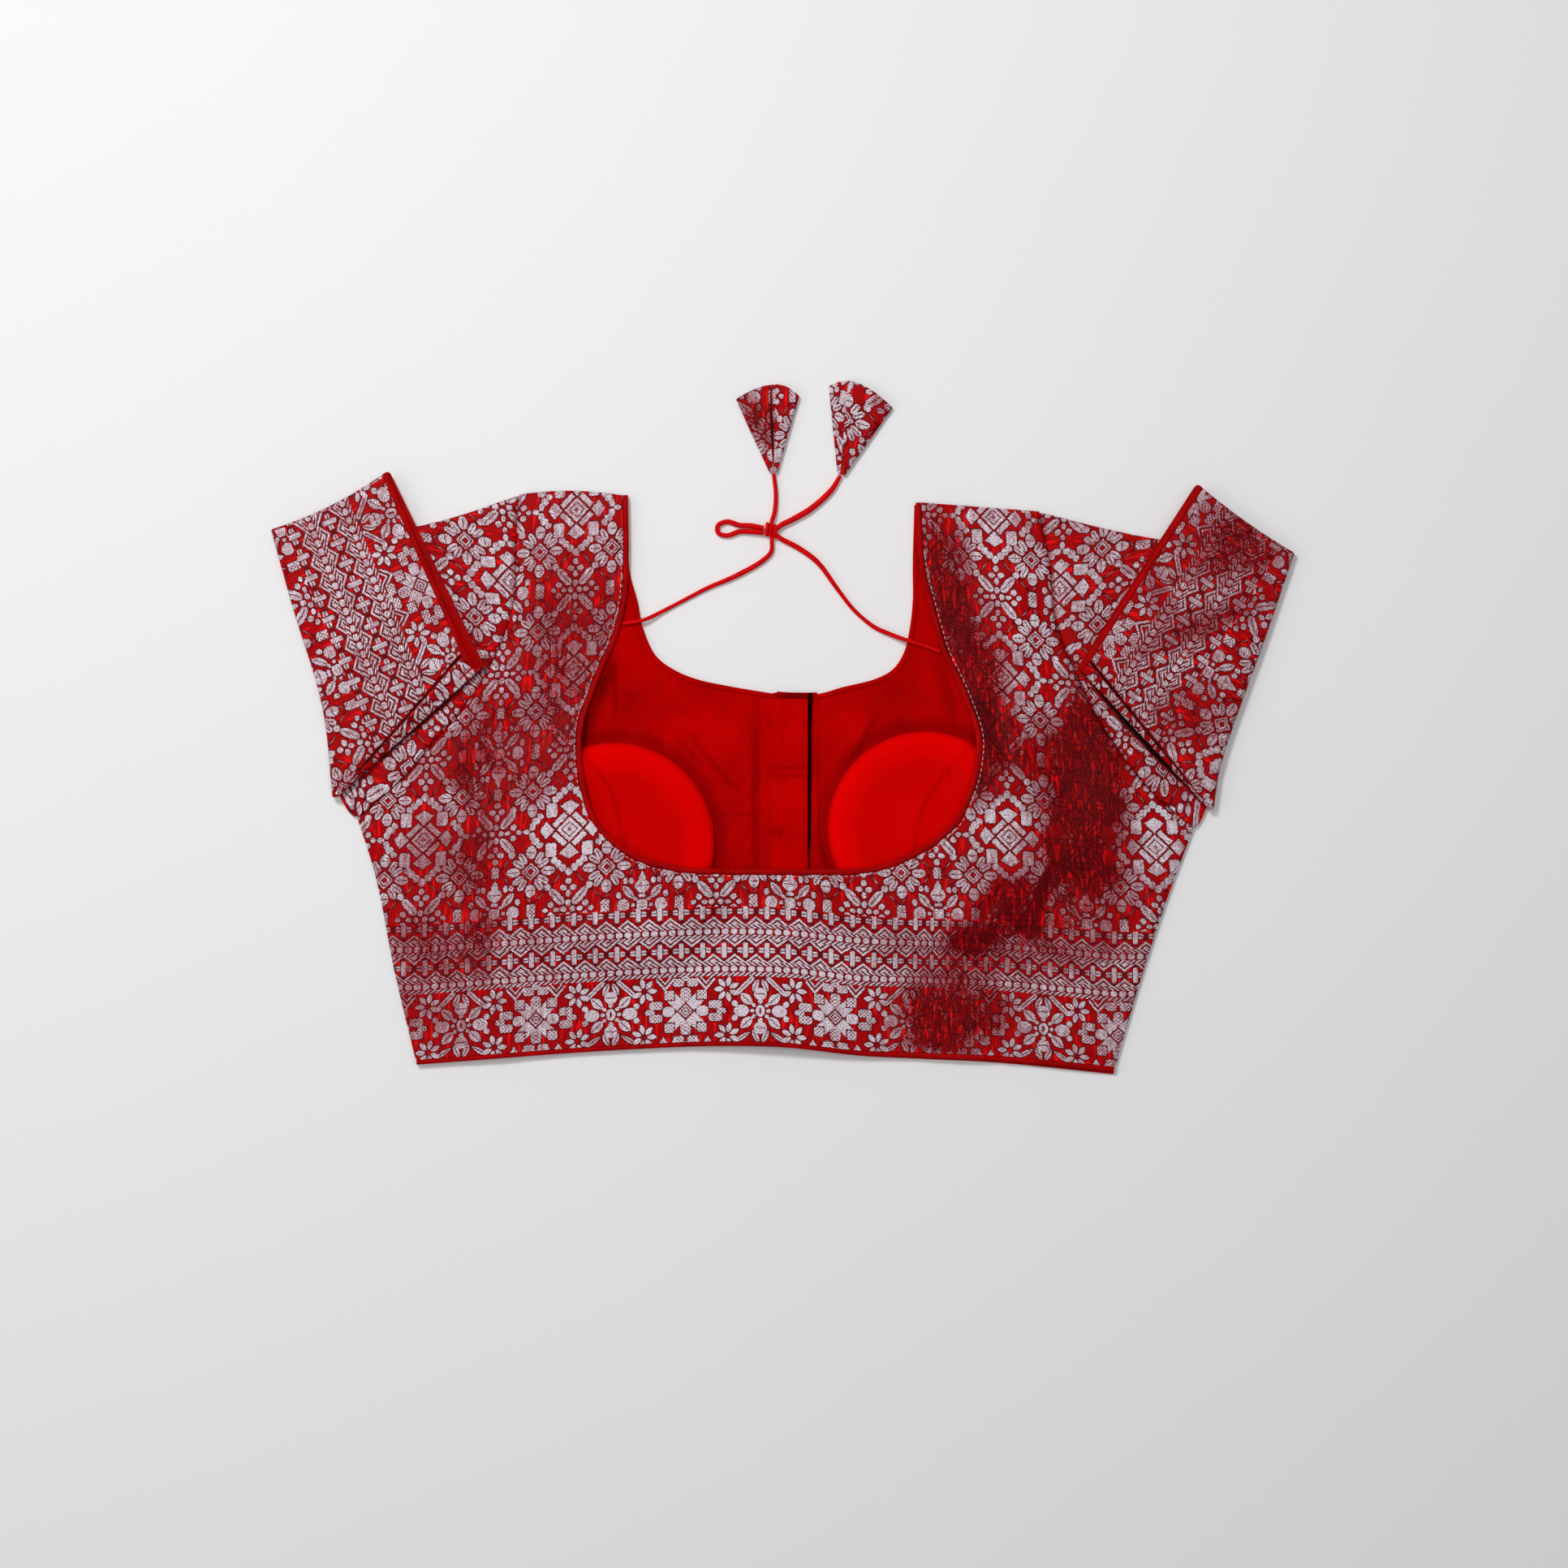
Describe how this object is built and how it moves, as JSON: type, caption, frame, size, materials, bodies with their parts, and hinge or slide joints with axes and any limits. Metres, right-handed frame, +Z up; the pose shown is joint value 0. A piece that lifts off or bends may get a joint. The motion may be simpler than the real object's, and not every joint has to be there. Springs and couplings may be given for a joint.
{
  "type": "brocade blouse",
  "caption": "Short-sleeved brocade sari blouse laid flat back side up, with a deep U neck, padded cups, sleeves folded back and a tied neck string with two tassels.",
  "frame": {"origin": "on the surface under the middle of the blouse's outline, its strings and tassels left out", "axes": "+Y from the hem to the shoulders, +X to the right of the laid blouse seen from above, +Z up"},
  "size_m": [0.6295, 0.4267, 0.0115],
  "materials": {
    "brocade": "red satin woven with silver zari",
    "satin_binding": "soft satin",
    "lining": "matt",
    "cup_cloth": "matt"
  },
  "bodies": {
    "root": {"back_panel": "brocade", "front_left": "brocade", "front_right": "brocade", "sleeve_left": "brocade", "sleeve_right": "brocade", "tassel_left": "brocade", "tassel_right": "brocade", "lining_left": "lining", "lining_right": "lining", "placket_over": "lining", "placket_under": "lining", "sleeve_facing_left": "lining", "cup_left": "cup_cloth", "cup_right": "cup_cloth", "neck_piping_back": "satin_binding", "neck_piping_front_left": "satin_binding", "neck_piping_front_right": "satin_binding", "hem_piping_back": "satin_binding", "hem_piping_front_left": "satin_binding", "hem_piping_front_right": "satin_binding", "sleeve_piping_left": "satin_binding", "sleeve_piping_right": "satin_binding", "string_left": "satin_binding", "string_right": "satin_binding", "knot": "satin_binding", "loop": "satin_binding", "tail_left": "satin_binding", "tail_right": "satin_binding"}
  },
  "joints": []
}
